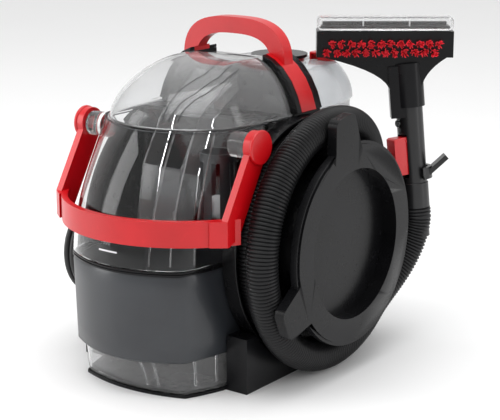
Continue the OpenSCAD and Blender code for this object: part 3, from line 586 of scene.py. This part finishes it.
def refine(node, *passes, sharp=30.0, middle=None):
    """A softened copy. Seams through the middle keep a face with a hole in several parts."""
    bm = bmesh.new()
    bm.from_mesh(frame["nodes"][node].data)
    bmesh.ops.remove_doubles(bm, verts=bm.verts, dist=2e-5)
    if middle is None:
        low, high = (Vector([f(v.co[i] for v in bm.verts) for i in range(3)]) for f in (min, max))
        middle = (low + high) / 2
    for axis in (Vector((1, 0, 0)), Vector((0, 1, 0)), Vector((0, 0, 1))):
        cut = bmesh.ops.bisect_plane(bm, geom=bm.verts[:] + bm.edges[:] + bm.faces[:], dist=1e-6,
                                     plane_co=middle, plane_no=axis)["geom_cut"]
        for edge in (e for e in cut if isinstance(e, bmesh.types.BMEdge)):
            edge.seam = True
    bmesh.ops.dissolve_limit(bm, angle_limit=math.radians(0.5), verts=bm.verts, edges=bm.edges,
                             delimit={"SEAM"})
    for width, where in passes:
        edges = [
            e for e in bm.edges
            if len(e.link_faces) == 2 and e.calc_face_angle(0) > math.radians(28)
            and where((e.verts[0].co + e.verts[1].co) / 2 / MM)
        ]
        bmesh.ops.bevel(bm, geom=edges, offset=width * MM, offset_type="OFFSET", segments=3, profile=0.5,
                        affect="EDGES", clamp_overlap=True, material=-1)
    made = piece(node + "_shell", bm, slot_of[node], body_of[node], sharp, recalc=False)
    even = made.modifiers.new("even_faces", "WEIGHTED_NORMAL")
    even.keep_sharp = True
    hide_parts(node)
    return made


HOOP_LOW, STRIP_TOP = 299, 291
refine("carry_handle", (5.0, lambda p: p.z > HOOP_LOW), (0.8, lambda p: p.z < STRIP_TOP))
for node, width in {
    "base_pan": 1.4, "front_rim": 0.7, "rear_rim": 0.7, "top_deck": 0.8, "deck_vent": 0.8,
    "spool_shroud": 0.9, "spool_disc": 1.3, "cord_hook_front": 1.5, "cord_hook_rear": 1.5, "cord_gland": 0.8,
    "wand_cradle": 0.8, "power_button": 1.0, "left_cheek": 1.2, "bail": 2.2, "bail_caps": 2.2,
    "bail_pivots": 0.6, "fill_cap": 0.9, "cap_latch": 1.2, "hose_cuff": 1.0, "wand_tube": 0.6,
    "spray_trigger": 1.6, "tool_body": 1.6, "hose_port": 0.4, "housing_left": 0.6, "housing_right": 0.6,
}.items():
    on_axis = node in ("spool_disc", "spool_shroud")
    refine(node, (width, everywhere), middle=SPOOL * MM if on_axis else None)

# %% [markdown]
# ## Front window and bristles of the tool
# The window is a hollow clear nozzle with its slot inside. Each tuft is a bunch of thin bristles.

# %% Tool
TOOL = "tool"
TOOL_W, TUFTS = 136.0, 12
head = Matrix.Translation((CUFF_LOW + LEAN * 163) * MM) @ Matrix.Rotation(math.radians(36), 4, "Z")
head = head @ Matrix.Translation(Vector((-22, 0, 0)) * MM)


def block(bm, size, centre, soft, flip=False):
    turn = Matrix.Translation(Vector(centre) * MM) @ Matrix.Diagonal((*(s * MM for s in size), 1))
    made = bmesh.ops.create_cube(bm, size=1, matrix=turn)["verts"]
    edges = list({e for v in made for e in v.link_edges})
    if soft:
        made = bmesh.ops.bevel(bm, geom=edges, offset=soft * MM, offset_type="OFFSET", segments=4,
                               profile=0.5, affect="EDGES", clamp_overlap=True, material=-1)["verts"]
    if flip:
        bmesh.ops.reverse_faces(bm, faces=list({f for v in made for f in v.link_faces}))


bm = bmesh.new()
block(bm, (TOOL_W, 24, 14), (0, -2, 33.2), 4.2)
block(bm, (TOOL_W - 5, 19, 9), (0, -2, 33.2), 2.4, True)
bm.transform(head)
window = piece("clear_nozzle", bm, "smoke_clear", TOOL, 50, recalc=False)
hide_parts("tool_window")
bm = bmesh.new()
block(bm, (TOOL_W - 12, 4, 6), (0, 2, 32.0), 1.0)
block(bm, (TOOL_W - 7, 15, 2.0), (0, -2, 29.9), 0.6)
bm.transform(head)
piece("nozzle_slot", bm, "black_gloss", TOOL)
bm = bmesh.new()
for x in (-22, 24):
    block(bm, (1.6, 1.2, 5), (x, -9.5, 33.2), 0.4)
bm.transform(head)
piece("nozzle_clips", bm, "white_plastic", TOOL)

bm = bmesh.new()
STRANDS = 34
for row in (0, 1):
    for i in range(TUFTS):
        root = Vector((-TOOL_W / 2 + 10 + i * (TOOL_W - 20) / TUFTS + row * 5, -14.2, 5.5 + row * 8.5))
        for _ in range(STRANDS):
            turn, reach = random.uniform(0, 2 * math.pi), math.sqrt(random.random())
            flat = Vector((math.cos(turn), 0, math.sin(turn)))
            foot_at = root + flat * 2.6 * reach
            tip = root + flat * 4.6 * reach + Vector((0, -random.uniform(6.4, 7.4), 0))
            line = [head @ (p * MM) for p in (foot_at, (foot_at + tip) / 2 + flat * 0.2, tip)]
            rings = tube_rings(line, lambda k: (0.6, 0.56, 0.4)[k] * MM, 5)
            skin(bm, rings, True, (True, True))
bristles = piece("bristle_tufts", bm, "bristle", TOOL, 80)
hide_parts("tool_bristles")
print("strands", 2 * TUFTS * STRANDS)

# %% [markdown]
# ## Finishes of the CAD nodes
# Every node that is still shown takes the finish of its slot.

# %% Node finishes
for node, obj in frame["nodes"].items():
    for holder in obj.material_slots:
        holder.material = looks[slot_of[node]].mat
    if not obj.material_slots:
        obj.data.materials.append(looks[slot_of[node]].mat)

# %% [markdown]
# ## Floor and light
# A pale floor, a large soft light overhead, one at the left and a narrow one at the right.
# The Standard view keeps the blacks dark and the reds full.

# %% Floor and light
bm = bmesh.new()
bmesh.ops.create_grid(bm, x_segments=2, y_segments=2, size=6)
mesh = bpy.data.meshes.new("floor")
bm.to_mesh(mesh)
bm.free()
floor = bpy.data.objects.new("floor", mesh)
bpy.context.scene.collection.objects.link(floor)
ground = Look("floor")
grain = ground.noise(3, 2)
ground.finish(Base_Color=ground.mix(grain, (0.93, 0.93, 0.93), (0.95, 0.95, 0.95)), Roughness=0.6)
mesh.materials.append(ground.mat)

world = bpy.data.worlds.new("studio")
world.use_nodes = True
world.node_tree.nodes["Background"].inputs[0].default_value = (1, 1, 1, 1)
world.node_tree.nodes["Background"].inputs[1].default_value = 0.8
bpy.context.scene.world = world
bpy.context.scene.view_settings.view_transform = "Standard"


def soft_light(name, place, aim, size, power):
    data = bpy.data.lights.new(name, "AREA")
    data.shape = "RECTANGLE"
    data.size, data.size_y = size
    data.energy = power
    light = bpy.data.objects.new(name, data)
    light.location = place
    light.rotation_euler = (Vector(aim) - Vector(place)).to_track_quat("-Z", "Y").to_euler()
    bpy.context.scene.collection.objects.link(light)


soft_light("overhead", (0.1, -0.2, 2.0), (0, 0, 0), (1.6, 1.6), 22)
soft_light("left", (-1.7, -1.5, 0.9), (0, 0, 0.18), (0.9, 1.8), 20)
soft_light("right", (1.9, 0.6, 0.8), (0.05, 0, 0.15), (0.3, 1.6), 5)
print("lights", len(bpy.data.lights))
